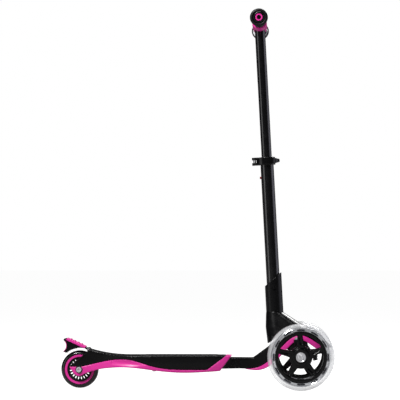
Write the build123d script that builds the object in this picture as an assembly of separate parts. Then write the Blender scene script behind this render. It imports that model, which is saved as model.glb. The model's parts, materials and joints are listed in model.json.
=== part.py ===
from build123d import *
import os
from math import atan, cos, degrees, radians, sin

# Child's three-wheeled kick scooter, in millimetres.
# +X points forwards, +Y to the rider's left, +Z up; the origin is on the floor,
# under the middle of the scooter's overall box.

# ---- overall layout ----
REAR_AXLE_X = -250.0
FRONT_AXLE_X = 220.0
REAR_R = 40.0
FRONT_R = 70.0
TRACK_Y = 108.0  # middle of each front wheel
CLEAR = 0.05  # radial clearance of every running fit
GAP = 0.3  # gap between faces that slide past each other

# ---- deck ----
DECK_TOP_Z = 70.0
MAT_TOP_Z = 71.0
MAT_HALF_Y = 43.0
MAT_X0, MAT_X1 = -112.0, 42.0
WHEEL_WELL_R = 43.5
WHEEL_WELL_HALF_Y = 14.5
CHEEK_OUT_Y = 27.0
FORK_END_R = 14.0
SPINE_X0, SPINE_X1 = -80.0, 118.0
SPINE_HALF_Y = 18.0
SPINE_Z0, SPINE_Z1 = 46.0, 60.0
SPINE_WALL = 2.0
SCREW_R = 2.0
SCREW_HEAD_R = 4.0
SCREW_SPOTS = [(x, side * 36.0) for x in (-90.0, -30.0, 30.0) for side in (-1, 1)]

# ---- steering (its own frame: origin on the front axle line, kingpins along its Z) ----
KING_TILT = 10.0
KING_Y = 62.0
KING_R = 3.5
BUSH_R = 6.0
BOSS_R = 9.0
BOSS_Z0, BOSS_Z1 = 14.0, 30.0
BEAM_HALF_X = 8.0
BEAM_MID_HALF_X, BEAM_MID_HALF_Y = 19.0, 43.0
ROD_X = 29.0
ROD_Z0, ROD_Z1 = -13.5, -7.5
ROD_PIN_R = 2.5
ROD_HOLE_R = 4.0  # the rod's eyes are loose: they stand in for ball joints

# ---- axles and bearings ----
AXLE_R = 4.0
BEARING_R = 11.0
BEARING_W = 7.0

# ---- front wheels ----
TYRE_W = 28.0
LIGHT_R = 61.5
RIM_R = 53.5
RIM_IN_R = 46.5
LIGHT_W = 21.0
RIM_W = 24.0
HUB_R = 18.0
FLANGE_OUT_R = 24.0
CAP_R = 10.4
SPOKES = 5
SPOKE_ANGLE = 89.0  # the first spoke's angle above +X
FAR_PHASE = -14.0  # how far the far wheel is turned on from the near one
SPOKE_FOOT_W, SPOKE_TIP_W = 16.0, 10.5
SPOKE_LEAN = 3.0
SPOKE_HALF_Y = 6.0
CHIPS = 12
CHIP_R0, CHIP_R1 = 55.1, 58.3
CHIP_FAN = 10.6  # half-width of each window at a radius of 70

# ---- rear wheel ----
REAR_W = 24.0
REAR_CORE_R = 31.5
REAR_RING_R = 26.6
REAR_SLOTS = 20
REAR_SLOT_R0, REAR_SLOT_R1 = 16.2, 22.2
REAR_SLOT_W = 2.8

# ---- stem (its own frame: origin where its axis meets the floor plane, axis along its Z) ----
STEM_FOOT_X = 173.74
STEM_TILT = degrees(atan(0.052))
UPPER_R = 11.0
UPPER_WALL = 1.5
LOWER_R = 14.0
LOWER_WALL = 2.0
LOWER_S0, LOWER_S1 = 130.0, 489.0
BUSH_S0 = 420.0
UPPER_S0 = 425.0
STEM_TRAVEL = 200.0
COLLAR_R = 18.0
COLLAR_S0, COLLAR_S1 = 475.5, 492.0
LEVER_PIN = (-26.0, -14.0)
LEVER_NOSE_HALF = 2.4
HEIGHT_BUTTON_S = 448.6
LOCK_BUTTON_S = 213.0
LOCK_BUTTON_R = 3.25
SOCKET_R = 18.25
KEY_HALF = 2.1  # half-width of the keyways that the button pins run in

# ---- handlebar ----
BAR_Z = 775.0
BAR_R = 11.0
BAR_END_Y = 142.0
SLEEVE_R = 15.6
SLEEVE_HALF_Y = 60.0
GRIP_R = 12.8
DISC_R = 16.0
FLANGE_R = 18.8
FLANGE_Y0, FLANGE_Y1 = 143.0, 150.0
BAR_HALF_LENGTH = 153.0
INLAY_R, INLAY_IN_R = 7.4, 4.6

# ---- brake ----
BRAKE_X, BRAKE_Z = -231.0, 83.0
BRAKE_PIN_R = 1.6
BRAKE_BARREL_R = 3.4
BRAKE_ARC_R = 45.5
BRAKE_HALF_Y = 15.0
LIP_T = 1.6

STEM = Plane(
    origin=(STEM_FOOT_X, 0, 0),
    x_dir=(cos(radians(STEM_TILT)), 0, sin(radians(STEM_TILT))),
    z_dir=(-sin(radians(STEM_TILT)), 0, cos(radians(STEM_TILT))),
)
STEER = Plane(
    origin=(FRONT_AXLE_X, 0, FRONT_R),
    x_dir=(cos(radians(KING_TILT)), 0, sin(radians(KING_TILT))),
    z_dir=(-sin(radians(KING_TILT)), 0, cos(radians(KING_TILT))),
)

parts = {}


# ---- helpers ----
def rod(radius, z0, z1, x=0.0, y=0.0):
    """A round bar along Z."""
    return Pos(x, y, z0) * Cylinder(radius, z1 - z0, align=(Align.CENTER, Align.CENTER, Align.MIN))


def ring(outer, inner, z0, z1, x=0.0, y=0.0):
    return rod(outer, z0, z1, x, y) - rod(inner, z0 - 1, z1 + 1, x, y)


def rod_y(radius, y0, y1, x, z):
    """A round bar along Y."""
    low = min(y0, y1)
    bar = Cylinder(radius, abs(y1 - y0), align=(Align.CENTER, Align.CENTER, Align.MIN))
    return Pos(x, low, z) * Rot(-90, 0, 0) * bar


def ring_y(outer, inner, y0, y1, x, z):
    low, high = min(y0, y1), max(y0, y1)
    return rod_y(outer, low, high, x, z) - rod_y(inner, low - 1, high + 1, x, z)


def block(x0, x1, y0, y1, z0, z1):
    size = (x1 - x0, abs(y1 - y0), z1 - z0)
    return Pos((x0 + x1) / 2, (y0 + y1) / 2, (z0 + z1) / 2) * Box(*size)


def side_solid(edges, half_width):
    """A closed outline in (X, Z), given as edges in order, made as wide as asked across Y."""
    face = Plane.XZ * make_face(edges)
    return extrude(face, half_width, both=True)


def group(solids):
    return Compound(children=list(solids))


def hexagon_y(across_flats, y0, y1, x, z):
    low = min(y0, y1)
    face = Plane(origin=(x, low, z), z_dir=(0, 1, 0)) * RegularPolygon(across_flats / 2, 6, major_radius=False)
    return extrude(face, abs(y1 - y0))


def revolve_y(profile_edges, x, y, z):
    """Turns an outline given as (radius, width) about a line along Y."""
    face = make_face(profile_edges)
    turned = revolve(face, Axis.Y, 360)
    return Pos(x, y, z) * turned


# ---- side outlines that neighbouring shells share ----
STRIPE_TOP = (62.0, DECK_TOP_Z)
STRIPE_LOW = (22.0, 40.5)
NOSE_TOP = (74.0, DECK_TOP_Z)
NOSE_LOW = (50.0, 38.0)
TAIL_TIP = (-272.0, 46.0)
RIDGE = (-227.0, 83.0)


def shell_line():
    """The wavy line where the black top shell meets the coloured lower shell."""
    return Spline((-246, 46), (-216, 53), (-172, 61.5), (-143, 61.5), (-117, 55), (-82, 45), (-36, 40.8), STRIPE_LOW)


def arch_top():
    return Spline((151, 88), (166, 102), (185, 118), (204, 127), (219, 128.5), (236, 123), (266, 97))


def arch_middle():
    return Spline((95, 43), (119, 43.4), (133, 47), (150, 57.5), (172, 80), (190, 99), (205, 110), (219, 113.5),
                  (233, 110), (264, 91))


def arch_bottom():
    return Spline((95, 43), (115, 40), (131, 39.5), (152, 47), (178, 70), (196, 90), (208, 100), (219, 103.5),
                  (231, 100), (258, 83))


def plan_prism():
    """The outline of deck and neck seen from above."""
    side = [(-222, CHEEK_OUT_Y), (-190, 36), (-150, 51), (-110, 56), (-40, 56.5), (20, 55.5), (52, 50), (82, 37),
            (108, 30.5), (130, 31), (160, 41), (190, 46), (240, 46)]
    right = Spline(*side)
    left = Spline(*[(x, -y) for x, y in side])
    tail = Polyline((-222, CHEEK_OUT_Y), (-280, CHEEK_OUT_Y), (-280, -CHEEK_OUT_Y), (-222, -CHEEK_OUT_Y))
    nose = Polyline((240, 46), (252, 44)) + ThreePointArc((252, 44), (277, 0), (252, -44))
    nose += Polyline((252, -44), (240, -46))
    return extrude(make_face(right + left + tail + nose), 160)


def wheel_well():
    return rod_y(WHEEL_WELL_R, -WHEEL_WELL_HALF_Y, WHEEL_WELL_HALF_Y, REAR_AXLE_X, REAR_R)


# ---- deck ----
def deck_lower_shell(plan):
    end = (TAIL_TIP[0] + 1.5, 46.0)
    heel, under, low = [fork_end_point(angle) for angle in (217, 265, 316)]
    outline = (
        shell_line()
        + Polyline((-246, 46), end, heel)
        + ThreePointArc(heel, under, low)
        + Spline(low, (-228, 34.5), (-210, 40), (-183, 44), (-151, 45.5), (-93, 39.5), (-36, 34.5), (11, 35.5), NOSE_LOW)
        + Polyline(NOSE_LOW, NOSE_TOP, STRIPE_TOP, STRIPE_LOW)
    )
    shell = side_solid(outline, 60) & plan
    shell -= wheel_well()
    shell -= rod_y(AXLE_R, -60, 60, REAR_AXLE_X, REAR_R)
    shell -= spine_space()
    for x, y in SCREW_SPOTS:
        shell -= rod(SCREW_R, 20, 60, x, y)
        shell -= rod(SCREW_HEAD_R, 20, 38.5, x, y)
    return shell


def fork_end_point(angle):
    return (REAR_AXLE_X + FORK_END_R * cos(radians(angle)), REAR_R + FORK_END_R * sin(radians(angle)))


def deck_top_shell(plan):
    outline = (
        shell_line()
        + Polyline((-246, 46), TAIL_TIP, RIDGE)
        + Spline(RIDGE, (-204, 77), (-170, 71.5), (-130, DECK_TOP_Z), tangents=((1, -0.3), (1, 0)))
        + Polyline((-130, DECK_TOP_Z), STRIPE_TOP, STRIPE_LOW)
    )
    shell = side_solid(outline, 60) & plan
    for side in (-1, 1):
        shell += rod_y(BRAKE_BARREL_R + 0.2, side * 16.2, side * 22, BRAKE_X, BRAKE_Z)
    shell -= wheel_well()
    shell -= rod_y(BRAKE_BARREL_R + 0.8, -16.2, 16.2, BRAKE_X, BRAKE_Z)
    shell -= block(-300, BRAKE_X, -16.2, 16.2, 60, 120)
    shell -= rod_y(BRAKE_PIN_R, -60, 60, BRAKE_X, BRAKE_Z)
    shell -= rod_y(AXLE_R, -60, 60, REAR_AXLE_X, REAR_R)
    shell -= spine_space()
    shell -= block(MAT_X0, MAT_X1, -MAT_HALF_Y, MAT_HALF_Y, DECK_TOP_Z - 1.5, DECK_TOP_Z + 1)
    # hollow ribbed boxes under the mat, between the screw posts
    for x0, x1 in ((-78, -42), (-18, 18)):
        for side in (-1, 1):
            shell -= block(x0, x1, side * 22, side * 50, 47, 65)
    for x, y in SCREW_SPOTS:
        shell -= rod(SCREW_R, 20, 60, x, y)
    return shell


def spine_space():
    return block(SPINE_X0, SPINE_X1, -SPINE_HALF_Y, SPINE_HALF_Y, SPINE_Z0, SPINE_Z1)


def deck_spine():
    inner = SPINE_WALL
    return spine_space() - block(SPINE_X0 - 1, SPINE_X1 + 1, -SPINE_HALF_Y + inner, SPINE_HALF_Y - inner,
                                 SPINE_Z0 + inner, SPINE_Z1 - inner)


def grip_mat():
    return block(MAT_X0, MAT_X1, -MAT_HALF_Y, MAT_HALF_Y, DECK_TOP_Z - 1.5, MAT_TOP_Z)


def deck_screws():
    screws = []
    for x, y in SCREW_SPOTS:
        screws.append(rod(SCREW_R, 38.5, 58, x, y) + rod(SCREW_HEAD_R - 0.2, 36.8, 38.5, x, y))
    return group(screws)


# ---- neck, arch and head ----
def neck_shell(plan):
    low = (50 + 24 * (43 - 38) / 32, 43.0)
    high = (50 + 24 * (65 - 38) / 32, 65.0)
    outline = (
        Polyline((95, 43), low, high, (119, 65), (151, 88))
        + arch_top()
        + Polyline((266, 97), (264, 91))
        + arch_middle()
    )
    shell = side_solid(outline, 60) & plan
    shell -= spine_space()
    shell -= head_bolt_space()
    return shell


def arch_lining(plan):
    outline = arch_middle() + Polyline((264, 91), (258, 83)) + arch_bottom()
    lining = side_solid(outline, 60) & plan
    lining -= STEER * beam_envelope()
    lining -= head_bolt_space()
    return lining


def head_section(x0, x1, half_y, corner, z):
    return Pos((x0 + x1) / 2, 0, z) * RectangleRounded(x1 - x0, 2 * half_y, corner)


def head_shell():
    top = 161.0
    axis_x = STEM_FOOT_X - 0.052 * top
    collar = SOCKET_R + 0.5
    sections = [
        head_section(axis_x - collar, axis_x + collar, collar, collar - 1.5, top),
        head_section(146, 232, 40, 24, 130),
        head_section(148.3, 262, 54, 27, 112),
        head_section(151, 286, 62, 30, 88),
    ]
    flare = loft(sections, ruled=True)
    socket = STEM * rod(SOCKET_R, 150, 255)
    slant = make_face(Polyline((130, 204.0), (196, 261.8), (196, 300), (130, 300), (130, 204.0)))
    shell = flare + (socket - extrude(Plane.XZ * slant, 60, both=True))
    below = Polyline((151, 88), (140, 91.5), (140, 60), (290, 60), (290, 80), (266, 97)) + arch_top()
    shell -= side_solid(below, 90)
    # the rear tip stands clear of the neck by a slot that closes further forward
    slot = Polyline((130, 95.3), (150, 95.3), (167, 107.5), (185, 118), (160, 84), (130, 84), (130, 95.3))
    shell -= side_solid(slot, 90)
    shell -= STEM * rod(LOWER_R + CLEAR, LOWER_S0, 300)
    shell -= STEM * rod_y(LOCK_BUTTON_R + CLEAR, -30, -LOWER_R + 2, 0, LOCK_BUTTON_S)
    shell -= head_bolt_space()
    return shell


HEAD_BOLTS = [(214.0, -20.0), (214.0, 20.0)]


def head_bolt_space():
    return group([STEER * rod(3.0, 10, 52, x - FRONT_AXLE_X, y) for x, y in HEAD_BOLTS])


def head_bolts():
    bolts = []
    for x, y in HEAD_BOLTS:
        at = x - FRONT_AXLE_X
        bolts.append(STEER * (rod(3.0, BOSS_Z0, 52, at, y) + rod(5.0, BOSS_Z0 - 4, BOSS_Z0, at, y)))
    return group(bolts)


# ---- steering ----
def beam_envelope():
    beam = block(-BEAM_HALF_X, BEAM_HALF_X, -KING_Y, KING_Y, BOSS_Z0, BOSS_Z1)
    beam += block(-BEAM_MID_HALF_X, BEAM_MID_HALF_X, -BEAM_MID_HALF_Y, BEAM_MID_HALF_Y, BOSS_Z0, BOSS_Z1)
    for side in (-1, 1):
        beam += rod(BOSS_R, BOSS_Z0, BOSS_Z1, 0, side * KING_Y)
    return beam


def bridge_beam():
    beam = beam_envelope()
    for side in (-1, 1):
        beam -= rod(BUSH_R, 0, 50, 0, side * KING_Y)
    return STEER * beam - head_bolt_space()


def steer_bushes():
    return group([STEER * ring(BUSH_R, KING_R + CLEAR, BOSS_Z0, BOSS_Z1, 0, s * KING_Y) for s in (-1, 1)])


def knuckle(side):
    """C-shaped steering knuckle round one kingpin, with its stub axle and steering arm."""
    web_in, web_out = 72.2, 80.0
    lower = block(-9, 9, side * 53, side * web_out, -9, BOSS_Z0 - GAP)
    upper = block(-9, 9, side * 53, side * web_out, BOSS_Z1 + GAP, 37)
    web = block(-9, 9, side * web_in, side * web_out, -9, 37)
    arm = block(0, ROD_X, side * 57, side * 67, -7, 0) + rod(6, -7, 0, ROD_X, side * KING_Y)
    body = lower + upper + web + arm
    body -= rod(KING_R, -20, 60, 0, side * KING_Y)
    body -= rod(ROD_HOLE_R, -20, 10, ROD_X, side * KING_Y)
    stub = rod_y(AXLE_R, side * (web_out - 1), side * 125, 0, 0)
    return STEER * (body + stub)


def kingpin(side):
    return STEER * (rod(KING_R, -6, 39, 0, side * KING_Y) + rod(KING_R + 2.5, 37, 40.5, 0, side * KING_Y))


def magnet_spacer(side):
    """Sleeve on the stub axle that keeps the bearings apart and carries the light's magnet ring."""
    y_in, y_out = TRACK_Y - 5 + 0.2, TRACK_Y + 5 - 0.2
    parts_in = ring_y(6.2, AXLE_R, side * 80, side * (TRACK_Y - 12.2), 0, 0)
    core = ring_y(6.2, AXLE_R, side * y_in, side * y_out, 0, 0)
    magnet = ring_y(9.6, AXLE_R, side * (y_in + 1), side * (y_out - 1), 0, 0)
    move = Pos(FRONT_AXLE_X, 0, FRONT_R)
    return group([move * parts_in, move * (core + magnet)])


def wheel_nut(side):
    nut = hexagon_y(12.5, side * (TRACK_Y + 12.3), side * (TRACK_Y + 16.5), FRONT_AXLE_X, FRONT_R)
    return nut - rod_y(AXLE_R, side * 90, side * 140, FRONT_AXLE_X, FRONT_R)


def tie_rod():
    bar = block(ROD_X - 4, ROD_X + 4, -KING_Y, KING_Y, ROD_Z0, ROD_Z1)
    for side in (-1, 1):
        bar += rod(5, ROD_Z0, ROD_Z1, ROD_X, side * KING_Y)
        bar += rod(ROD_PIN_R, ROD_Z1, 1.5, ROD_X, side * KING_Y)
    return STEER * bar


# ---- front wheels ----
def front_tyre(side):
    half = TYRE_W / 2
    shoulder = FRONT_R - 7.5
    outline = (
        Polyline((LIGHT_R, half - 2), (LIGHT_R, 2 - half))
        + ThreePointArc((LIGHT_R, 2 - half), (LIGHT_R + 1.2, 0.2 - half), (shoulder + 1.5, 0.2 - half))
        + ThreePointArc((shoulder + 1.5, 0.2 - half), (FRONT_R, 0), (shoulder + 1.5, half - 0.2))
        + ThreePointArc((shoulder + 1.5, half - 0.2), (LIGHT_R + 1.2, half - 0.2), (LIGHT_R, half - 2))
    )
    return revolve_y(outline, FRONT_AXLE_X, side * TRACK_Y, FRONT_R)


def light_ring(side):
    base = ring_y(LIGHT_R, RIM_R, side * TRACK_Y - LIGHT_W / 2, side * TRACK_Y + LIGHT_W / 2, FRONT_AXLE_X, FRONT_R)
    return base - group(chip_pockets(side))


def chip_pockets(side, depth=2.0):
    """Curved dark windows let into both faces of the light ring."""
    blocks = []
    for number in range(CHIPS):
        for face in (-1, 1):
            y1 = face * LIGHT_W / 2
            chip = rod_y(CHIP_R1, y1, y1 - face * depth, 0, 0) - rod_y(CHIP_R0, -20, 20, 0, 0)
            chip = chip & side_solid(Polyline((0, 0), (70, -CHIP_FAN), (70, CHIP_FAN), (0, 0)), 20)
            turn = Pos(FRONT_AXLE_X, side * TRACK_Y, FRONT_R) * Rot(0, number * 360 / CHIPS, 0)
            blocks.append(turn * chip)
    return blocks


def front_rim(side):
    y = side * TRACK_Y
    hoop = ring_y(RIM_R, RIM_IN_R, y - RIM_W / 2, y + RIM_W / 2, FRONT_AXLE_X, FRONT_R)
    hub = rod_y(HUB_R, y - 13, y + 13, FRONT_AXLE_X, FRONT_R)
    rim = hoop + hub + ring_y(FLANGE_OUT_R, HUB_R - 0.5, y - SPOKE_HALF_Y, y + SPOKE_HALF_Y, FRONT_AXLE_X, FRONT_R)
    for spoke in spokes(side):
        rim += spoke
    rim -= rod_y(BEARING_R, y - 13.5, y - 5, FRONT_AXLE_X, FRONT_R)
    rim -= rod_y(BEARING_R, y + 5, y + 13.5, FRONT_AXLE_X, FRONT_R)
    rim -= rod_y(BEARING_R - 0.8, y - 6, y + 6, FRONT_AXLE_X, FRONT_R)
    return rim


def spokes(side):
    """Five tapered, slightly leaning spokes with a shallow groove down each face."""
    solids = []
    first = SPOKE_ANGLE + (FAR_PHASE if side > 0 else 0)
    foot, tip = HUB_R - 1, RIM_IN_R + 0.7
    outline = Polyline((foot, -SPOKE_FOOT_W / 2), (tip, SPOKE_LEAN - SPOKE_TIP_W / 2),
                       (tip, SPOKE_LEAN + SPOKE_TIP_W / 2), (foot, SPOKE_FOOT_W / 2), (foot, -SPOKE_FOOT_W / 2))
    groove = Polyline((foot + 10, -2.4), (tip - 5, SPOKE_LEAN - 1.4), (tip - 5, SPOKE_LEAN + 1.4), (foot + 10, 2.4),
                      (foot + 10, -2.4))
    spoke = side_solid(outline, SPOKE_HALF_Y)
    for face in (-1, 1):
        spoke -= Pos(0, face * SPOKE_HALF_Y, 0) * side_solid(groove, 1.5)
    for number in range(SPOKES):
        turn = Pos(FRONT_AXLE_X, side * TRACK_Y, FRONT_R) * Rot(0, -first - number * 360 / SPOKES, 0)
        solids.append(turn * spoke)
    return solids


def hub_cap(side):
    """Domed cap over the wheel nut, hollow inside so that it clears the nut as it turns."""
    foot, top = TRACK_Y + 13, TRACK_Y + 20.8
    cap = rod_y(CAP_R, side * foot, side * top, FRONT_AXLE_X, FRONT_R)
    cap = fillet(cap.faces().sort_by(Axis.Y)[-1 if side > 0 else 0].edges(), 3.5)
    return cap - rod_y(8.4, side * (foot - 1), side * (foot + 4.6), FRONT_AXLE_X, FRONT_R)


def bearing_pair(x, z, centre_y, spread):
    pair = []
    for face in (-1, 1):
        y0 = centre_y + face * spread
        pair.append(ring_y(BEARING_R, AXLE_R + CLEAR, y0, y0 + face * BEARING_W, x, z))
    return group(pair)


# ---- rear wheel ----
def rear_tyre():
    half = REAR_W / 2
    side_r = REAR_R - 6.5
    outline = (
        Polyline((REAR_CORE_R, half - 1), (REAR_CORE_R, 1 - half), (side_r, -half))
        + ThreePointArc((side_r, -half), (REAR_R, 0), (side_r, half))
        + Polyline((side_r, half), (REAR_CORE_R, half - 1))
    )
    return revolve_y(outline, REAR_AXLE_X, 0, REAR_R)


def rear_core():
    hoop = ring_y(REAR_CORE_R, REAR_RING_R, -7, 7, REAR_AXLE_X, REAR_R)
    disc = rod_y(REAR_RING_R, -6, 6, REAR_AXLE_X, REAR_R)
    hub = rod_y(14.5, -11, 11, REAR_AXLE_X, REAR_R)
    core = hoop + disc + hub
    core -= rod_y(BEARING_R, -12, -4, REAR_AXLE_X, REAR_R)
    core -= rod_y(BEARING_R, 4, 12, REAR_AXLE_X, REAR_R)
    core -= rod_y(BEARING_R - 1.5, -5, 5, REAR_AXLE_X, REAR_R)
    middle, length = (REAR_SLOT_R0 + REAR_SLOT_R1) / 2, REAR_SLOT_R1 - REAR_SLOT_R0
    for number in range(REAR_SLOTS):
        turn = Pos(REAR_AXLE_X, 0, REAR_R) * Rot(0, (number + 0.5) * 360 / REAR_SLOTS, 0)
        slot = Plane.XZ * Pos(middle, 0) * SlotOverall(length, REAR_SLOT_W)
        core -= turn * extrude(slot, 20, both=True)
    return core


def rear_rings():
    faces = [ring_y(REAR_CORE_R, REAR_RING_R, s * 7, s * 10.5, REAR_AXLE_X, REAR_R) for s in (-1, 1)]
    return group(faces)


def rear_axle():
    axle = rod_y(AXLE_R, -27.8, 33, REAR_AXLE_X, REAR_R)
    head = rod_y(5.6, -32, -27.8, REAR_AXLE_X, REAR_R)
    head -= hexagon_y(5, -33, -29.5, REAR_AXLE_X, REAR_R)
    return axle + head


def rear_nut():
    nut = hexagon_y(13, 27.8, 33, REAR_AXLE_X, REAR_R)
    return nut - rod_y(AXLE_R, 20, 40, REAR_AXLE_X, REAR_R)


def rear_washers():
    spots = [(7.6, -27.8, -27.0), (7.6, 27.0, 27.8), (7.0, 11.2, WHEEL_WELL_HALF_Y), (7.0, -WHEEL_WELL_HALF_Y, -11.2),
             (7.0, -3.8, 3.8)]
    return group([ring_y(r, AXLE_R, y0, y1, REAR_AXLE_X, REAR_R) for r, y0, y1 in spots])


# ---- brake ----
def brake_plate():
    """Coloured foot plate with pressed ridges and a thin lip down its concave rear edge."""
    slope = (-236.0, 88.5), (-276.0, 106.5)
    top = Polyline(slope[0], slope[1])
    under = Polyline(slope[1], (-278.5, 102.5), (-239.0, 84.3), slope[0])
    plate = side_solid(top + under, 19)
    run = Vector(slope[1][0] - slope[0][0], 0, slope[1][1] - slope[0][1])
    for number in range(4):
        spot = Vector(slope[0][0], 0, slope[0][1]) + run * (0.26 + 0.19 * number)
        plate += rod_y(2.2, -15, 15, spot.X, spot.Z - 0.6)
    plate -= side_solid(Polyline((-236, 60), (-200, 60), (-200, 110), (-236, 110), (-236, 60)), 40)
    return group([plate, brake_lip()])


def brake_lip():
    back, front = tail_curve(0), tail_curve(LIP_T)
    ends = [Line(back @ at, front @ at) for at in (0, 1)]
    return side_solid(back + ends[1] + front + ends[0], BRAKE_HALF_Y)


def tail_curve(inset):
    """The concave fish-tail edge at the brake's rear, or the same curve set further in."""
    return ThreePointArc((-282.5 + inset, 100), (-278.6 + inset, 90), (-285.5 + inset, 78))


def brake_web():
    tip_low = (REAR_AXLE_X + BRAKE_ARC_R * cos(radians(130)), REAR_R + BRAKE_ARC_R * sin(radians(130)))
    front = (REAR_AXLE_X + BRAKE_ARC_R * cos(radians(73)), REAR_R + BRAKE_ARC_R * sin(radians(73)))
    outline = (
        Polyline(front, (-236, 85.6), (-239.0, 84.3), (-278.5, 102.5), (-276, 106.5), (-282, 105.5))
        + ThreePointArc((-282, 105.5), (-284, 103), (-282.5, 100))
        + tail_curve(0)
        + Polyline((-285.5, 78), tip_low)
        + ThreePointArc(tip_low, (REAR_AXLE_X + BRAKE_ARC_R * cos(radians(100)),
                                  REAR_R + BRAKE_ARC_R * sin(radians(100))), front)
    )
    web = side_solid(outline, BRAKE_HALF_Y) - brake_lip()
    web += rod_y(BRAKE_BARREL_R, -15.8, 15.8, BRAKE_X, BRAKE_Z)
    web += block(BRAKE_X - 6.5, BRAKE_X, -15, 15, BRAKE_Z - 0.5, BRAKE_Z + 3.0) - brake_plate()
    web -= rod_y(BRAKE_PIN_R + CLEAR, -30, 30, BRAKE_X, BRAKE_Z)
    return web


def brake_pad():
    pad = ring_y(BRAKE_ARC_R, BRAKE_ARC_R - 1.2, -9, 9, REAR_AXLE_X, REAR_R)
    cut = make_face(Polyline((REAR_AXLE_X, REAR_R), (-292, 92), (-262, 120), (REAR_AXLE_X, REAR_R)))
    return pad & extrude(Plane.XZ * cut, 30, both=True)


def brake_pin():
    return rod_y(BRAKE_PIN_R, -22, 22, BRAKE_X, BRAKE_Z)


# ---- stem ----
def lower_tube():
    tube = ring(LOWER_R, LOWER_R - LOWER_WALL, LOWER_S0, LOWER_S1)
    tube -= Pos(-LOWER_R, 0, HEIGHT_BUTTON_S) * Rot(0, 90, 0) * Cylinder(2.5 + CLEAR, 8)
    tube -= block(-KEY_HALF, KEY_HALF, -LOWER_R - 1, -LOWER_R + LOWER_WALL + 1, LOWER_S0 - 1, LOCK_BUTTON_S + 2.4)
    return STEM * tube


def guide_bush():
    bush = ring(LOWER_R - LOWER_WALL, UPPER_R + CLEAR, BUSH_S0, LOWER_S1)
    bush += ring(LOWER_R, UPPER_R + CLEAR, LOWER_S1, COLLAR_S1 - 1)
    bush -= Pos(-LOWER_R, 0, HEIGHT_BUTTON_S) * Rot(0, 90, 0) * Cylinder(2.5 + CLEAR, 8)
    return STEM * bush


def clamp_collar():
    collar = ring(COLLAR_R, LOWER_R, COLLAR_S0, COLLAR_S1)
    lugs = block(-31.5, -13, -9, 9, COLLAR_S0, COLLAR_S1)
    collar += lugs - rod(COLLAR_R - 1, COLLAR_S0, COLLAR_S1)
    collar -= block(-40, -12, -1.2, 1.2, COLLAR_S0 - 1, COLLAR_S1 + 1)
    middle = (COLLAR_S0 + COLLAR_S1) / 2
    collar -= rod_y(2.5, -20, 20, LEVER_PIN[0], middle)
    collar -= block(-40, -COLLAR_R - 1.5, -20, 20, middle - 3.2, middle + 3.2)
    return STEM * collar


def clamp_bolt():
    middle = (COLLAR_S0 + COLLAR_S1) / 2
    bolt = rod_y(2.5, LEVER_PIN[1], 9, LEVER_PIN[0], middle)
    bolt += hexagon_y(6, 9, 12.5, LEVER_PIN[0], middle)
    bolt += block(LEVER_PIN[0] - 3, LEVER_PIN[0] + 3, -9, 9, middle - 3, middle + 3)
    bolt -= rod(1.6, COLLAR_S0, COLLAR_S1, *LEVER_PIN)
    return STEM * bolt


def clamp_pin():
    return STEM * rod(1.6, COLLAR_S0 + 1.0, COLLAR_S1 - 1.0, *LEVER_PIN)


def clamp_lever():
    """Quick-release lever: cam barrel at the rear, arm bent round the collar, tapered finger tip in front."""
    inner, outer = COLLAR_R + 1.0, COLLAR_R + 5.5
    arm = ring(outer, inner, COLLAR_S0 + 0.8, COLLAR_S1 - 0.8)
    keep = make_face(Polyline((0, 0), (-40, -16), (-40, -60), (60, -60), (60, -4), (0, 0)))
    arm = arm & extrude(Pos(0, 0, COLLAR_S0) * keep, 30)
    tip = make_face(Polyline((17, -12), (20, -4), (27.7, -1), (24, -9), (18.5, -15.5), (17, -12)))
    tip = extrude(Pos(0, 0, COLLAR_S0 + 0.8) * tip, COLLAR_S1 - COLLAR_S0 - 1.6)
    arm += tip - rod(inner, COLLAR_S0, COLLAR_S1)
    arm += rod(4.2, COLLAR_S0 + 0.8, COLLAR_S1 - 0.8, *LEVER_PIN)
    bridge = make_face(Polyline((-26, -18.2), (-16, -17.6), (-12, -16), (-14, -12), (-22, -12), (-26, -18.2)))
    bridge = extrude(Pos(0, 0, COLLAR_S0 + 0.8) * bridge, COLLAR_S1 - COLLAR_S0 - 1.6)
    arm += bridge - rod(inner, COLLAR_S0, COLLAR_S1)
    middle = (COLLAR_S0 + COLLAR_S1) / 2
    arm -= rod(5.2, middle - 3.4, middle + 3.4, *LEVER_PIN)
    arm -= block(-40, -14, -10.0, 20, middle - 10, middle + 10)
    for up in (-1, 1):
        edge = middle + up * (COLLAR_S1 - COLLAR_S0) / 2
        wedge = Polyline((8, edge), (30, middle + up * LEVER_NOSE_HALF), (30, edge + up), (8, edge + up), (8, edge))
        arm -= side_solid(wedge, 40)
    arm -= rod(1.6 + CLEAR, COLLAR_S0 - 5, COLLAR_S1 + 5, *LEVER_PIN)
    return STEM * arm


def height_button():
    head = Pos(-15.0, 0, HEIGHT_BUTTON_S) * Rot(0, 90, 0) * Cylinder(2.5, 3.4)
    shaft = Pos(-10.45, 0, HEIGHT_BUTTON_S) * Rot(0, 90, 0) * Cylinder(1.5, 5.7)
    return STEM * (head + shaft)


def lock_button():
    head = rod_y(LOCK_BUTTON_R, -19.6, -16.9, 0, LOCK_BUTTON_S)
    shaft = rod_y(1.5, -16.9, -12.4, 0, LOCK_BUTTON_S)
    return STEM * (head + shaft)


def upper_tube():
    top = BAR_Z / cos(radians(STEM_TILT)) - 8
    tube = ring(UPPER_R, UPPER_R - UPPER_WALL, UPPER_S0, top)
    key_end = HEIGHT_BUTTON_S + STEM_TRAVEL + 4
    tube -= block(-UPPER_R - 1, -UPPER_R + UPPER_WALL + 1, -KEY_HALF, KEY_HALF, HEIGHT_BUTTON_S - 4, key_end)
    tube = STEM * tube
    return tube - rod_y(BAR_R, -60, 60, bar_x(), BAR_Z)


def bar_x():
    return STEM_FOOT_X - 0.052 * BAR_Z


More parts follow.
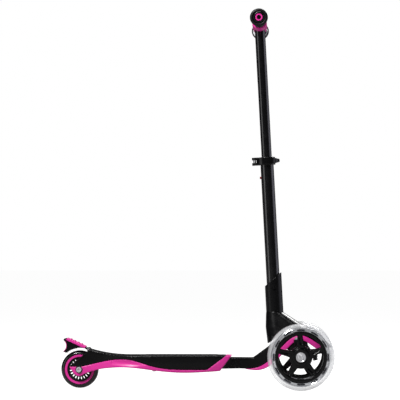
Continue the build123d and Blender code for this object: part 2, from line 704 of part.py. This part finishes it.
def stop_plug():
    inner = UPPER_R - UPPER_WALL
    return STEM * (rod(inner, UPPER_S0, UPPER_S0 + 12) + rod(UPPER_R - 0.6, UPPER_S0 - 4, UPPER_S0))


# ---- handlebar ----
def cross_tube():
    return ring_y(BAR_R, BAR_R - 1.8, -BAR_END_Y, BAR_END_Y, bar_x(), BAR_Z)


def tee_sleeve():
    sleeve = ring_y(SLEEVE_R, BAR_R, -SLEEVE_HALF_Y, SLEEVE_HALF_Y, bar_x(), BAR_Z)
    return sleeve - STEM * rod(UPPER_R, 700, BAR_Z)


def grip(side):
    body = ring_y(GRIP_R, BAR_R, side * SLEEVE_HALF_Y, side * FLANGE_Y0, bar_x(), BAR_Z)
    flange = rod_y(FLANGE_R, side * FLANGE_Y0, side * FLANGE_Y1, bar_x(), BAR_Z)
    flange = fillet(flange.edges(), 2.0)
    whole = body + flange
    whole -= rod_y(BAR_R, side * 20, side * BAR_END_Y, bar_x(), BAR_Z)
    return whole - rod_y(12.0, side * (FLANGE_Y1 - 3), side * (BAR_HALF_LENGTH + 5), bar_x(), BAR_Z)


def grip_discs():
    return group([ring_y(DISC_R, GRIP_R, s * (FLANGE_Y0 - 1.5), s * FLANGE_Y0, bar_x(), BAR_Z) for s in (-1, 1)])


def end_caps():
    caps = []
    for side in (-1, 1):
        cap = rod_y(12.0, side * (FLANGE_Y1 - 3), side * BAR_HALF_LENGTH, bar_x(), BAR_Z)
        cap = fillet(cap.faces().sort_by(Axis.Y)[-1 if side > 0 else 0].edges(), 3.0)
        caps.append(cap - inlay(side))
    return group(caps)


def inlay(side):
    """Coloured ring let into the face of one end cap."""
    return ring_y(INLAY_R, INLAY_IN_R, side * (BAR_HALF_LENGTH - 1), side * BAR_HALF_LENGTH, bar_x(), BAR_Z)


def build_deck():
    plan = plan_prism()
    parts["deck_lower_shell"] = deck_lower_shell(plan)
    parts["deck_top_shell"] = deck_top_shell(plan)
    parts["deck_spine"] = deck_spine()
    parts["grip_mat"] = grip_mat()
    parts["deck_screws"] = deck_screws()
    parts["neck_shell"] = neck_shell(plan)
    parts["arch_lining"] = arch_lining(plan)
    parts["head_shell"] = head_shell()
    parts["head_bolts"] = head_bolts()


def build_steering():
    parts["bridge_beam"] = bridge_beam()
    parts["steer_bushes"] = steer_bushes()
    parts["tie_rod"] = tie_rod()
    for word, side in (("near", -1), ("far", 1)):
        parts[f"knuckle_{word}"] = knuckle(side)
        parts[f"kingpin_{word}"] = kingpin(side)
        parts[f"magnet_spacer_{word}"] = magnet_spacer(side)
        parts[f"wheel_nut_{word}"] = wheel_nut(side)
        parts[f"front_tyre_{word}"] = front_tyre(side)
        parts[f"light_ring_{word}"] = light_ring(side)
        parts[f"light_chips_{word}"] = group(chip_pockets(side))
        parts[f"front_rim_{word}"] = front_rim(side)
        parts[f"hub_cap_{word}"] = hub_cap(side)
        parts[f"front_bearings_{word}"] = bearing_pair(FRONT_AXLE_X, FRONT_R, side * TRACK_Y, 5)


def build_rear():
    parts["rear_tyre"] = rear_tyre()
    parts["rear_core"] = rear_core()
    parts["rear_rings"] = rear_rings()
    parts["rear_bearings"] = bearing_pair(REAR_AXLE_X, REAR_R, 0, 4)
    parts["rear_axle"] = rear_axle()
    parts["rear_nut"] = rear_nut()
    parts["rear_washers"] = rear_washers()
    parts["brake_plate"] = brake_plate()
    parts["brake_web"] = brake_web()
    parts["brake_pad"] = brake_pad()
    parts["brake_pin"] = brake_pin()


def build_stem():
    parts["lower_tube"] = lower_tube()
    parts["guide_bush"] = guide_bush()
    parts["clamp_collar"] = clamp_collar()
    parts["clamp_bolt"] = clamp_bolt()
    parts["clamp_pin"] = clamp_pin()
    parts["clamp_lever"] = clamp_lever()
    parts["height_button"] = height_button()
    parts["lock_button"] = lock_button()
    parts["upper_tube"] = upper_tube()
    parts["stop_plug"] = stop_plug()
    parts["cross_tube"] = cross_tube()
    parts["tee_sleeve"] = tee_sleeve()
    parts["grip_near"] = grip(-1)
    parts["grip_far"] = grip(1)
    parts["grip_discs"] = grip_discs()
    parts["end_caps"] = end_caps()
    parts["cap_inlays"] = group([inlay(-1), inlay(1)])


build_deck()
build_steering()
build_rear()
build_stem()

os.makedirs("parts", exist_ok=True)
for name, shape in parts.items():
    export_step(shape, f"parts/{name}.step")
print(len(parts), "nodes")
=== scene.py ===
"""Looks of the child's kick scooter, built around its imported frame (metres, +X forwards, +Z up)."""
import json
from math import cos, pi, radians, sin

import bmesh
import bpy
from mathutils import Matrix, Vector


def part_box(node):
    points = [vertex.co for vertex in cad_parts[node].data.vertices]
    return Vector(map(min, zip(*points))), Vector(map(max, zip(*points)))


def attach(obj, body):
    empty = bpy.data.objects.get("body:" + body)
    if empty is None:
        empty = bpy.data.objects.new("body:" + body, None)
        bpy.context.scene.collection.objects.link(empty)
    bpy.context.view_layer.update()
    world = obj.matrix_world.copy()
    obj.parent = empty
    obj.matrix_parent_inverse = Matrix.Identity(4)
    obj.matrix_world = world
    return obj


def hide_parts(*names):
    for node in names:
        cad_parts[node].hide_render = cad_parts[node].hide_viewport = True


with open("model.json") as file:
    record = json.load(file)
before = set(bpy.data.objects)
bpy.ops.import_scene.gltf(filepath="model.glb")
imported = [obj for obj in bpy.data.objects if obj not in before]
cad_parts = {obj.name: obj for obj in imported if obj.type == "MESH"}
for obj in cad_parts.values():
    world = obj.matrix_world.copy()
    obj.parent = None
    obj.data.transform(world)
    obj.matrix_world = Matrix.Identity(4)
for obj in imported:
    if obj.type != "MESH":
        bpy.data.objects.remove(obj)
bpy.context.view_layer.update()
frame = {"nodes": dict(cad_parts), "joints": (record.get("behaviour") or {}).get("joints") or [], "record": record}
SCENE = bpy.context.scene


# ---------------------------------------------------------------- places, read from the frame
def centre(node):
    low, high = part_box(node)
    return (Vector(low) + Vector(high)) / 2


def half_height(node):
    low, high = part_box(node)
    return (high[2] - low[2]) / 2


def half_width(node):
    low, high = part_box(node)
    return (high[1] - low[1]) / 2


def y_reach(node):
    """How far the node's nearer and farther ends lie from the middle plane."""
    low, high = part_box(node)
    return sorted((abs(low[1]), abs(high[1])))


def joint(name):
    return next(j for j in frame["joints"] if j["name"] == name)


REAR = centre("rear_tyre")
BAR = centre("cross_tube")
WHEELS = {word: Vector(joint(f"spin_{word}")["pos_m"]) for word in ("near", "far")}
NODE_BODY = {n: b for b, ns in frame["record"]["behaviour"]["bodies"].items() for n in ns}
NODE_SLOT = {s["node"]: s["material_slot"] for s in frame["record"]["subparts"]}


# ---------------------------------------------------------------- camera, light and floor
CAMERA_PLACE, CAMERA_TARGET = (0.187, -5.0, 0.264), (0.006, 0.0, 0.4003)
CAMERA_LENS, CAMERA_SENSOR = 211.2, 36.0
WHITE, FAINT_BLUE = (1, 1, 1), (0.86, 0.86, 1.0)
LIGHTS = [
    # name, place, target, size, power, colour
    ("left", (-2.3, -1.1, 0.6), (0, 0, 0.4), (1.1, 2.4), 13, WHITE),
    ("right", (2.0, 0.2, 0.6), (0, 0, 0.4), (1.6, 2.4), 15, FAINT_BLUE),
    ("front", (-1.2, -2.7, 2.8), (0, 0, 0.2), (0.7, 0.7), 135, WHITE),
    ("back", (0.9, 2.4, 1.9), (0, 0, 0.3), (0.9, 0.9), 40, WHITE),
    ("top", (0.0, 0.1, 2.3), (0, 0, 0), (1.2, 0.6), 20, WHITE),
]
BACKDROP_SEEN, BACKDROP_UNSEEN = 1.0, 0.035
PAPER_SEEN, PAPER_UNSEEN = 0.97, 0.10
PAPER_GREY = 0.30
FLOOR_R = 90


def aimed(name, data, place, target):
    """A camera or a light that stands at place and looks at target."""
    thing = bpy.data.objects.new(name, data)
    thing.location = place
    thing.rotation_euler = (Vector(target) - Vector(place)).to_track_quat("-Z", "Y").to_euler()
    SCENE.collection.objects.link(thing)
    return thing


def make_camera():
    """Side view from far away, a little above the deck, with a long lens."""
    data = bpy.data.cameras.new("camera")
    data.lens = CAMERA_LENS
    data.sensor_width = CAMERA_SENSOR
    SCENE.camera = aimed("camera", data, CAMERA_PLACE, CAMERA_TARGET)


def area_light(name, place, target, size, power, colour):
    data = bpy.data.lights.new(name, "AREA")
    data.shape = "RECTANGLE"
    data.size, data.size_y = size
    data.energy = power
    data.color = colour
    aimed(name, data, place, target)


def seen_only(tree, seen, unseen):
    """A value that is seen for what is looked at directly, and unseen for light and reflections."""
    path = tree.nodes.new("ShaderNodeLightPath")
    value = tree.nodes.new("ShaderNodeMapRange")
    value.inputs["To Min"].default_value = unseen
    value.inputs["To Max"].default_value = seen
    tree.links.new(path.outputs["Is Camera Ray"], value.inputs["Value"])
    return value.outputs["Result"]


def make_studio():
    """White paper surroundings that reflect little, with strip lights for narrow highlights."""
    world = bpy.data.worlds.new("studio")
    SCENE.world = world
    world.use_nodes = True
    tree = world.node_tree
    background = tree.nodes["Background"]
    background.inputs["Color"].default_value = (*WHITE, 1)
    tree.links.new(seen_only(tree, BACKDROP_SEEN, BACKDROP_UNSEEN), background.inputs["Strength"])
    for light in LIGHTS:
        area_light(*light)
    SCENE.view_settings.view_transform = "Standard"
    SCENE.cycles.use_denoising = True
    SCENE.cycles.transparent_max_bounces = 24
    SCENE.cycles.transmission_bounces = 16


def make_floor():
    """A wide sheet of white paper under the wheels."""
    bm = bmesh.new()
    bmesh.ops.create_circle(bm, cap_ends=True, segments=64, radius=FLOOR_R)
    mesh = bpy.data.meshes.new("floor")
    bm.to_mesh(mesh)
    bm.free()
    floor = bpy.data.objects.new("floor", mesh)
    SCENE.collection.objects.link(floor)
    paper = bpy.data.materials.new("paper_white")
    paper.use_nodes = True
    tree = paper.node_tree
    shader = tree.nodes["Principled BSDF"]
    shader.inputs["Base Color"].default_value = (PAPER_GREY, PAPER_GREY, PAPER_GREY, 1)
    shader.inputs["Roughness"].default_value = 0.9
    shader.inputs["Specular IOR Level"].default_value = 0.0
    shader.inputs["Emission Color"].default_value = (*WHITE, 1)
    tree.links.new(seen_only(tree, PAPER_SEEN, PAPER_UNSEEN), shader.inputs["Emission Strength"])
    floor.data.materials.append(paper)


# ---------------------------------------------------------------- materials
NOISE_DETAIL = 3.0
NOISE_RANGE = 0.3, 0.7
DRAWN_ALONG_X = (1, 30, 30)


class Look:
    """A material under construction: a Principled shader with helpers for procedural detail."""

    def __init__(self, name, colour, rough, **sockets):
        self.slot = name
        self.material = bpy.data.materials.new(name)
        self.material.use_nodes = True
        self.tree = self.material.node_tree
        self.shader = self.tree.nodes["Principled BSDF"]
        self.base = (*colour, 1.0)
        self.shader.inputs["Base Color"].default_value = self.base
        self.shader.inputs["Roughness"].default_value = rough
        self.rough = rough
        for socket, value in sockets.items():
            self.shader.inputs[socket.replace("_", " ")].default_value = value
        self.coords = self.tree.nodes.new("ShaderNodeTexCoord").outputs["Object"]

    def noise(self, scale, stretch=None):
        node = self.tree.nodes.new("ShaderNodeTexNoise")
        node.inputs["Scale"].default_value = scale
        node.inputs["Detail"].default_value = NOISE_DETAIL
        source = self.coords
        if stretch:
            mapping = self.tree.nodes.new("ShaderNodeMapping")
            mapping.inputs["Scale"].default_value = stretch
            self.tree.links.new(self.coords, mapping.inputs["Vector"])
            source = mapping.outputs["Vector"]
        self.tree.links.new(source, node.inputs["Vector"])
        return node.outputs["Fac"]

    def ranged(self, noise, low, high):
        """The noise's middle range, where most of it lies, stretched to low..high."""
        node = self.tree.nodes.new("ShaderNodeMapRange")
        node.inputs["From Min"].default_value, node.inputs["From Max"].default_value = NOISE_RANGE
        node.inputs["To Min"].default_value = low
        node.inputs["To Max"].default_value = high
        self.tree.links.new(noise, node.inputs["Value"])
        return node.outputs["Result"]

    def vary_rough(self, scale, amount, stretch=None):
        """Roughness that wanders by amount to either side."""
        low, high = max(self.rough - amount, 0.0), self.rough + amount
        value = self.ranged(self.noise(scale, stretch), low, high)
        self.tree.links.new(value, self.shader.inputs["Roughness"])
        return self

    def vary_colour(self, scale, factor):
        """Mottles the base colour towards factor times itself."""
        mix = self.tree.nodes.new("ShaderNodeMix")
        mix.data_type = "RGBA"
        mix.inputs["A"].default_value = self.base
        mix.inputs["B"].default_value = (*[min(c * factor, 1.0) for c in self.base[:3]], 1.0)
        self.tree.links.new(self.ranged(self.noise(scale), 0, 1), mix.inputs["Factor"])
        self.tree.links.new(mix.outputs["Result"], self.shader.inputs["Base Color"])
        return self

    def bump(self, scale, strength, distance):
        """Fine surface grain."""
        node = self.tree.nodes.new("ShaderNodeBump")
        node.inputs["Strength"].default_value = strength
        node.inputs["Distance"].default_value = distance
        self.tree.links.new(self.noise(scale), node.inputs["Height"])
        self.tree.links.new(node.outputs["Normal"], self.shader.inputs["Normal"])
        return self


def make_looks():
    """One material per slot of the record."""
    looks = [
        *plastic_looks(),
        *wheel_looks(),
        *metal_looks(),
        *small_part_looks(),
    ]
    return {look.slot: look.material for look in looks}


def plastic_looks():
    """Moulded shells, painted tubes and the rubber mat."""
    yield (Look("pink_shell", (0.84, 0.036, 0.37), 0.34, Specular_IOR_Level=0.4)
           .vary_colour(9, 0.9).vary_rough(40, 0.05).bump(900, 0.05, 0.0002))
    yield (Look("black_shell", (0.0018, 0.0018, 0.0021), 0.28, Specular_IOR_Level=0.2)
           .vary_colour(14, 1.5).vary_rough(55, 0.05).bump(1500, 0.08, 0.0002))
    yield (Look("black_gloss", (0.0022, 0.0022, 0.0025), 0.20, Specular_IOR_Level=0.25)
           .vary_colour(20, 1.6).vary_rough(60, 0.05).bump(1200, 0.04, 0.0002))
    yield (Look("stem_paint", (0.0020, 0.0020, 0.0025), 0.20, Coat_Weight=0.35, Coat_Roughness=0.10)
           .vary_colour(30, 1.5).vary_rough(70, 0.04).bump(700, 0.04, 0.0002))
    yield (Look("mat_rubber", (0.012, 0.012, 0.013), 0.70)
           .vary_colour(60, 1.4).vary_rough(90, 0.08).bump(2600, 0.25, 0.0003))


def wheel_looks():
    """The clear tyre is cast polyurethane: see-through, slightly milky, with a bright gloss."""
    yield (Look("clear_tyre", (0.96, 0.97, 0.98), 0.14, Alpha=0.36, Coat_Weight=0.5, Coat_Roughness=0.05)
           .vary_rough(40, 0.05).vary_colour(18, 0.96))
    yield (Look("light_chrome", (0.86, 0.87, 0.90), 0.10, Metallic=0.8)
           .vary_rough(50, 0.05).vary_colour(25, 0.85))
    yield (Look("chip_dark", (0.008, 0.008, 0.012), 0.15)
           .vary_colour(80, 2.0).vary_rough(90, 0.05))
    yield (Look("rim_black", (0.0018, 0.0018, 0.0020), 0.16, Specular_IOR_Level=0.3)
           .vary_colour(30, 1.5).vary_rough(60, 0.05).bump(1300, 0.05, 0.0002))
    yield (Look("cap_silver", (0.80, 0.80, 0.82), 0.24, Metallic=0.6)
           .vary_rough(120, 0.05).vary_colour(60, 0.94))
    yield (Look("pu_black", (0.0024, 0.0024, 0.0027), 0.16, Coat_Weight=0.4, Coat_Roughness=0.1)
           .vary_colour(40, 1.6).vary_rough(50, 0.06).bump(600, 0.05, 0.0002))
    yield (Look("core_black", (0.0032, 0.0032, 0.0035), 0.38, Specular_IOR_Level=0.35)
           .vary_colour(40, 1.5).vary_rough(80, 0.07).bump(1500, 0.12, 0.0002))


def metal_looks():
    yield (Look("steel", (0.82, 0.82, 0.84), 0.24, Metallic=0.6)
           .vary_rough(200, 0.08).vary_colour(90, 0.88))
    yield (Look("dark_steel", (0.018, 0.018, 0.020), 0.34, Metallic=0.3)
           .vary_rough(150, 0.08).vary_colour(70, 1.4).bump(900, 0.08, 0.0002))
    yield (Look("alu", (0.72, 0.72, 0.74), 0.34, Metallic=1.0)
           .vary_rough(300, 0.08, DRAWN_ALONG_X).vary_colour(100, 0.9))


def small_part_looks():
    """Buttons, grips and bushes."""
    yield (Look("button_red", (0.22, 0.006, 0.012), 0.24)
           .vary_colour(200, 0.8).vary_rough(100, 0.05))
    yield (Look("grip_rubber", (0.003, 0.003, 0.0033), 0.42, Specular_IOR_Level=0.25)
           .vary_colour(60, 1.5).vary_rough(90, 0.08).bump(2200, 0.2, 0.0003))
    # painted highlight: the grip discs are coloured pale to stand for the gloss on the curved inside of the grip's
    # flange
    yield (Look("disc_pale", (0.80, 0.80, 0.82), 0.35)
           .vary_colour(50, 0.92).vary_rough(80, 0.06))
    yield (Look("nylon_white", (0.72, 0.72, 0.70), 0.45)
           .vary_colour(60, 0.9).vary_rough(80, 0.06))


LOOKS = make_looks()


# ---------------------------------------------------------------- mesh makers
WELD_GAP = 1e-5
RELAX = 0.5


def finish_piece(piece, node, smooth):
    """Material, shading, body and bookkeeping of a piece that stands for the CAD node."""
    slot = NODE_SLOT[node]
    piece.data.materials.append(LOOKS[slot])
    shade(piece, smooth)
    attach(piece, NODE_BODY[node])
    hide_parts(node)


def shade(piece, angle):
    """Smooth shading, with edges sharper than angle (degrees) kept hard."""
    piece.data.shade_smooth()
    piece.data.set_sharp_from_angle(angle=radians(angle))


def piece_from(name, bm):
    bmesh.ops.recalc_face_normals(bm, faces=bm.faces)
    mesh = bpy.data.meshes.new(name)
    bm.to_mesh(mesh)
    bm.free()
    piece = bpy.data.objects.new(name, mesh)
    SCENE.collection.objects.link(piece)
    return piece


def lathe_into(bm, profile, place, segments):
    """Turns a closed profile of (radius, distance along Y) points about the Y axis through place."""
    rings = []
    for step in range(segments):
        angle = 2 * pi * step / segments
        out = Vector((cos(angle), 0, sin(angle)))
        rings.append([bm.verts.new(place + out * r + Vector((0, d, 0))) for r, d in profile])
    bridge_into(bm, rings + rings[:1])


def bridge_into(bm, rings):
    """Joins each ring of corners to the next one with four-sided faces."""
    for a, b in zip(rings, rings[1:]):
        for k in range(len(a)):
            n = (k + 1) % len(a)
            bm.faces.new((a[k], a[n], b[n], b[k]))


def bar_into(bm, rings):
    """A closed bar that runs through the rings."""
    bridge_into(bm, rings)
    bm.faces.new(rings[0])
    bm.faces.new(rings[-1])


def moulded(node, voxel, passes):
    """The node's shape with softly rounded edges, like a moulding: remeshed and smoothed."""
    mesh = frame["nodes"][node].data.copy()
    mesh.materials.clear()
    piece = bpy.data.objects.new(f"{node}_skin", mesh)
    SCENE.collection.objects.link(piece)
    weld = piece.modifiers.new("weld", "WELD")
    weld.merge_threshold = WELD_GAP
    remesh = piece.modifiers.new("remesh", "REMESH")
    remesh.mode = "VOXEL"
    remesh.voxel_size = voxel
    relaxing = piece.modifiers.new("relax", "SMOOTH")
    relaxing.factor = RELAX
    relaxing.iterations = passes
    bake_modifiers(piece)
    return piece


def bake_modifiers(piece):
    graph = bpy.context.evaluated_depsgraph_get()
    done = bpy.data.meshes.new_from_object(piece.evaluated_get(graph))
    piece.modifiers.clear()
    old = piece.data
    piece.data = done
    bpy.data.meshes.remove(old)


# ---------------------------------------------------------------- moulded shells and fittings
MOULDED = {
    # node: (voxel size, smoothing passes)
    "deck_top_shell": (0.0012, 16),
    "deck_lower_shell": (0.0012, 8),
    "neck_shell": (0.0012, 8),
    "arch_lining": (0.0011, 6),
    "head_shell": (0.0010, 6),
    "brake_web": (0.0006, 6),
    "brake_plate": (0.0005, 4),
    "clamp_collar": (0.0005, 3),
    "clamp_lever": (0.0005, 4),
    "tee_sleeve": (0.0006, 4),
    "bridge_beam": (0.0008, 3),
    "tie_rod": (0.0006, 3),
    "knuckle_near": (0.0007, 3),
    "knuckle_far": (0.0007, 3),
    "front_rim_near": (0.0007, 3),
    "front_rim_far": (0.0007, 3),
    "rear_core": (0.0005, 3),
}
SKIN_SMOOTH = 60
BUTTON_GAP = 0.0004
# the deck's side walls: where they begin, how far they lean in below TUCK_TOP_Z, and their scoop
WALL_FROM_Y, WALL_Y = 0.030, 0.050
TUCK, TUCK_TOP_Z, TUCK_HEIGHT = 0.0045, 0.058, 0.024
SCOOP_X, SCOOP_Z, SCOOP_SLOPE = -0.146, 0.055, 0.04
SCOOP_LENGTH, SCOOP_HEIGHT, SCOOP_DEPTH = 0.048, 0.0085, 0.0036
SCOOP_FROM_Y = 0.040


def make_mouldings():
    for node, (voxel, passes) in MOULDED.items():
        piece = moulded(node, voxel, passes)
        if node in ("deck_lower_shell", "deck_top_shell"):
            curve_walls(piece)
        if node == "head_shell":
            open_button_hole(piece)
        finish_piece(piece, node, SKIN_SMOOTH)


def open_button_hole(piece):
    """Pushes the remeshed wall back from the lock button, which slides in it along Y."""
    high_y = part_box("lock_button")[1][1]
    middle = centre("lock_button")
    clear = half_height("lock_button") + BUTTON_GAP
    for vertex in piece.data.vertices:
        x, y, z = vertex.co
        away = Vector((x - middle.x, z - middle.z))
        if y < high_y and 0 < away.length < clear:
            away *= clear / away.length
            vertex.co = (middle.x + away.x, y, middle.z + away.y)


def curve_walls(piece):
    """Tucks the deck's side walls in towards their lower edge, with a long scoop in the pink band."""
    for vertex in piece.data.vertices:
        x, y, z = vertex.co
        if abs(y) < WALL_FROM_Y:
            continue
        outwards = min(abs(y) / WALL_Y, 1.0) ** 4
        below = min(max((TUCK_TOP_Z - z) / TUCK_HEIGHT, 0.0), 1.0)
        inward = TUCK * below**2 * outwards
        along = x - SCOOP_X
        away = (along / SCOOP_LENGTH) ** 2 + ((z - SCOOP_Z + SCOOP_SLOPE * along) / SCOOP_HEIGHT) ** 2
        if away < 1 and abs(y) > SCOOP_FROM_Y:
            inward += SCOOP_DEPTH * (1 - away) ** 1.5
        vertex.co.y -= inward if y > 0 else -inward


# ---------------------------------------------------------------- wheels
CROWN_REACH, CROWN_STEP = 80, 8
FRONT_CROWN_DROP, REAR_CROWN_DROP = 0.0085, 0.0068
WINDOW_COUNT = 12
WINDOW_HALF_ANGLE = 8.6
WINDOW_STEPS = 8
WINDOW_IN, WINDOW_WIDTH, WINDOW_NARROWER = 0.0016, 0.0030, 0.0008
WINDOW_FLOOR, WINDOW_TOP = 0.0018, 0.0009


def crown(outer, drop, half):
    """The round running surface of a tyre as (radius, width) points."""
    angles = [radians(a) for a in range(-CROWN_REACH, CROWN_REACH + 1, CROWN_STEP)]
    return [(outer - drop * (1 - cos(a)), half * sin(a)) for a in angles]


def lathe_piece(name, node, profile, place, segments, smooth):
    """A turned piece that stands for the CAD node."""
    bm = bmesh.new()
    lathe_into(bm, profile, place, segments)
    finish_piece(piece_from(name, bm), node, smooth)


def make_front_tyre(word, hub):
    node = f"front_tyre_{word}"
    half = half_width(node)
    inner = half_height(f"light_ring_{word}")
    profile = [(inner, -half + 0.003), (inner + 0.0008, -half + 0.0006),
               *crown(half_height(node), FRONT_CROWN_DROP, half),
               (inner + 0.0008, half - 0.0006), (inner, half - 0.003)]
    lathe_piece(f"tyre_{word}", node, profile, hub, 160, 30)


def make_light_band(word, hub):
    """Plated ring under the tyre: a rolled outer edge, a dished face and a groove for the windows."""
    node = f"light_ring_{word}"
    outer = half_height(node)
    half = half_width(node)
    inner = half_height(f"front_rim_{word}")
    face = [(inner, half - 0.0022), (inner + 0.0004, half - 0.0005), (inner + 0.0009, half - 0.0003),
            (inner + 0.0013, half - 0.0016), (inner + 0.0049, half - 0.0016),
            (inner + 0.0053, half - 0.0004), (outer - 0.0018, half), (outer - 0.0006, half - 0.0006),
            (outer - 0.0001, half - 0.0025)]
    mirrored = [(r, -d) for r, d in face]
    lathe_piece(f"light_band_{word}", node, mirrored + face[::-1], hub, 192, 40)


def make_light_windows(word, hub):
    """Curved dark windows lying in the groove on each face of the plated ring."""
    bm = bmesh.new()
    for number in range(WINDOW_COUNT):
        for face in (-1, 1):
            window_into(bm, word, hub, 360 / WINDOW_COUNT * number, face)
    finish_piece(piece_from(f"light_windows_{word}", bm), f"light_chips_{word}", 40)


def window_into(bm, word, hub, middle, face):
    """One window about the angle middle, a little narrower at its ends."""
    half = half_width(f"light_ring_{word}")
    inner = half_height(f"front_rim_{word}") + WINDOW_IN
    floor, top = face * (half - WINDOW_FLOOR), face * (half - WINDOW_TOP)
    rings = []
    for step in range(WINDOW_STEPS + 1):
        angle = radians(middle + WINDOW_HALF_ANGLE * (2 * step / WINDOW_STEPS - 1))
        out = Vector((cos(angle), 0, sin(angle)))
        narrow = WINDOW_NARROWER if step in (0, WINDOW_STEPS) else 0.0
        low, high = inner + narrow, inner + WINDOW_WIDTH - narrow
        rings.append([bm.verts.new(hub + out * r + Vector((0, y, 0)))
                      for r, y in ((low, floor), (high, floor), (high, top), (low, top))])
    bar_into(bm, rings)


def make_hub_cap(word, sign, hub):
    """Low silver cap with a raised ring and a dished middle."""
    node = f"hub_cap_{word}"
    near, far = y_reach(node)
    foot, tip = near - abs(hub.y), far - abs(hub.y)
    radius = half_height(node)
    outline = [(0.0082, foot), (radius, foot), (radius, tip - 0.0024), (radius - 0.0006, tip - 0.0014),
               (radius - 0.0016, tip - 0.0011), (radius - 0.0023, tip - 0.0014),
               (radius - 0.0027, tip - 0.0023), (0.0064, tip - 0.0024), (0.0059, tip - 0.0012),
               (0.0049, tip - 0.0003), (0.0034, tip), (0.0022, tip - 0.0002), (0.0018, tip - 0.0009),
               (0.0003, tip - 0.0011), (0.0003, tip - 0.0032), (0.0082, tip - 0.0032)]
    lathe_piece(f"hub_cover_{word}", node, [(r, sign * d) for r, d in outline], hub, 72, 28)


def make_front_wheel(word, sign):
    hub = WHEELS[word]
    make_front_tyre(word, hub)
    make_light_band(word, hub)
    make_light_windows(word, hub)
    make_hub_cap(word, sign, hub)


def make_rear_wheel():
    half = half_width("rear_tyre")
    inner = half_height("rear_core")
    profile = [(inner, -half + 0.0012), (inner + 0.0009, -half + 0.0003),
               *crown(half_height("rear_tyre"), REAR_CROWN_DROP, half),
               (inner + 0.0009, half - 0.0003), (inner, half - 0.0012)]
    lathe_piece("rear_tyre_cast", "rear_tyre", profile, REAR, 128, 30)


# ---------------------------------------------------------------- deck
MAT_SUNK, MAT_RIM, MAT_RIM_LOW = 0.0007, 0.0030, 0.0002
MAT_OVERLAP = 0.0003
RIB_PITCH, RIB_LEAN, RIB_WIDTH, RIB_FLANK = 0.0085, 0.35, 0.0028, 0.0006
RIB_INSET, RIB_END, RIB_FROM_Y = 0.0055, 0.002, 0.0012


def make_mat():
    """Rubber mat with a rim and raised ribs that lean back to both sides."""
    low, high = [Vector(p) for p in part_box("grip_mat")]
    base_top = high.z - MAT_SUNK
    foot = base_top - MAT_OVERLAP
    bm = bmesh.new()
    box_into(bm, low, Vector((high.x, high.y, base_top)))
    for x0, x1, y0, y1 in ((low.x, low.x + MAT_RIM, low.y, high.y),
                           (high.x - MAT_RIM, high.x, low.y, high.y),
                           (low.x, high.x, low.y, low.y + MAT_RIM),
                           (low.x, high.x, high.y - MAT_RIM, high.y)):
        box_into(bm, Vector((x0, y0, foot)), Vector((x1, y1, high.z - MAT_RIM_LOW)))
    low_x, high_x = low.x + RIB_INSET, high.x - RIB_INSET
    x = low_x + RIB_END
    while x < high_x - RIB_END:
        for side in (-1, 1):
            rib_into(bm, x, side, high.y - RIB_INSET, foot, high.z, high_x)
        x += RIB_PITCH
    finish_piece(piece_from("mat_ribbed", bm), "grip_mat", 35)


def box_into(bm, low, high):
    outline = [(low.y, low.z), (high.y, low.z), (high.y, high.z), (low.y, high.z)]
    bar_into(bm, [[bm.verts.new((x, y, z)) for y, z in outline] for x in (low.x, high.x)])


def rib_into(bm, x, side, half, foot, top, high_x):
    """Half of a V-shaped rib with sloping flanks, from the middle line to half, cut short at high_x."""
    rings = []
    for y in (RIB_FROM_Y, half):
        at = x + RIB_LEAN * y
        if at + RIB_WIDTH > high_x:
            at = high_x - RIB_WIDTH
            y = (at - x) / RIB_LEAN
        wide, narrow = RIB_WIDTH / 2, RIB_WIDTH / 2 - RIB_FLANK
        rings.append([bm.verts.new((at + dx, side * y, z))
                      for dx, z in ((-wide, foot), (wide, foot), (narrow, top), (-narrow, top))])
    bar_into(bm, rings)


# ---------------------------------------------------------------- handlebar
GRIP_R, GRIP_BORE = 0.0128, 0.0112
GRIP_RIBS, RIB_GROOVE = 26, 0.0008
RIBS_FROM_ROOT, RIBS_TO_TIP = 0.004, 0.011


def make_grip(word, sign):
    """Ribbed rubber grip with a round guard at its end."""
    node = f"grip_{word}"
    guard_r = half_height(node)
    root, tip = y_reach(node)
    first = root + RIBS_FROM_ROOT
    pitch = (tip - RIBS_TO_TIP - first) / GRIP_RIBS
    outline = [(GRIP_BORE, root), (GRIP_R - 0.0006, root), (GRIP_R, root + 0.0006)]
    for rib in range(GRIP_RIBS):
        at = first + pitch * rib
        outline += [(GRIP_R, at), (GRIP_R - RIB_GROOVE, at + pitch * 0.18),
                    (GRIP_R - RIB_GROOVE, at + pitch * 0.42), (GRIP_R, at + pitch * 0.60)]
    outline += [(GRIP_R, tip - 0.0085), (GRIP_R + 0.0025, tip - 0.0071), (guard_r - 0.0020, tip - 0.0068),
                (guard_r - 0.0005, tip - 0.0058), (guard_r, tip - 0.0042),
                (guard_r - 0.0004, tip - 0.0020), (guard_r - 0.0016, tip - 0.0007),
                (guard_r - 0.0034, tip), (0.0138, tip), (0.0132, tip - 0.0005),
                (0.0125, tip - 0.0010), (0.0125, tip - 0.003), (GRIP_BORE, tip - 0.004)]
    turned = [(r, sign * d) for r, d in outline]
    lathe_piece(f"grip_cover_{word}", node, turned, Vector((BAR.x, 0, BAR.z)), 96, 50)


# ---------------------------------------------------------------- CAD nodes that stay
def dress_cad_nodes():
    """Material and shading of every CAD node, also of those that a piece replaces."""
    for name, node in frame["nodes"].items():
        node.data.materials.clear()
        node.data.materials.append(LOOKS[NODE_SLOT[name]])
        shade(node, 30)


make_camera()
make_studio()
make_floor()
dress_cad_nodes()
make_mouldings()
make_front_wheel("near", -1)
make_front_wheel("far", 1)
make_rear_wheel()
make_mat()
make_grip("near", -1)
make_grip("far", 1)
